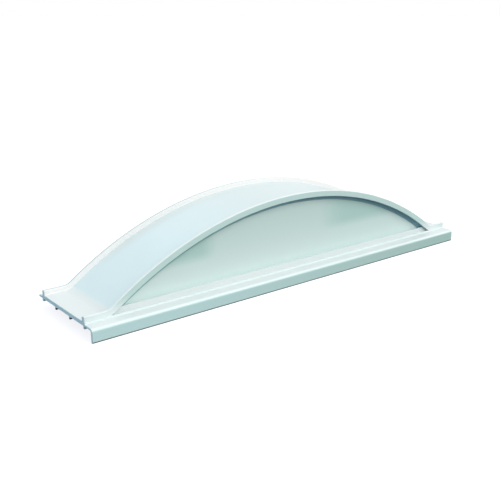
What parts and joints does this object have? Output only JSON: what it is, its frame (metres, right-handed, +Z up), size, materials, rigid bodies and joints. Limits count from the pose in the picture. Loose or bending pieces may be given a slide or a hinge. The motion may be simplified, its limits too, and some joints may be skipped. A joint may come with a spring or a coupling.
{
  "type": "arched hutch roof section",
  "caption": "Low arched channel roof section with recessed side panels on a long sill with a front drip flange and seals beneath.",
  "frame": {"origin": "under the middle of the sill, at the level of the drip flange's lower edge", "axes": "+X along the sill to the right seen from the front, -Y towards the drip flange at the front, +Z up"},
  "size_m": [1.2, 0.263, 0.2269],
  "materials": {
    "shell": "smooth satin, faint cyan tint",
    "panel": "smooth satin sheet",
    "tape": "closed-cell foam tape",
    "gasket": "matt slate rubber",
    "bead": "matt black rubber",
    "screw": "zinc-plated steel"
  },
  "bodies": {
    "root": {"sill": "shell", "arch_channel": "shell", "left_bedding_tape": "tape", "right_bedding_tape": "tape", "front_track": "shell", "rear_track": "shell", "front_panel": "panel", "rear_panel": "panel", "front_edge_gasket": "gasket", "rear_edge_gasket": "gasket", "front_bottom_seal": "gasket", "rear_bottom_seal": "gasket", "front_retaining_strip": "shell", "rear_retaining_strip": "shell", "front_strip_screws": "screw", "rear_strip_screws": "screw", "front_track_screws": "screw", "rear_track_screws": "screw", "left_tail_screws": "screw", "right_tail_screws": "screw", "front_seal_bead": "bead", "rear_seal_bead": "bead"}
  },
  "joints": []
}
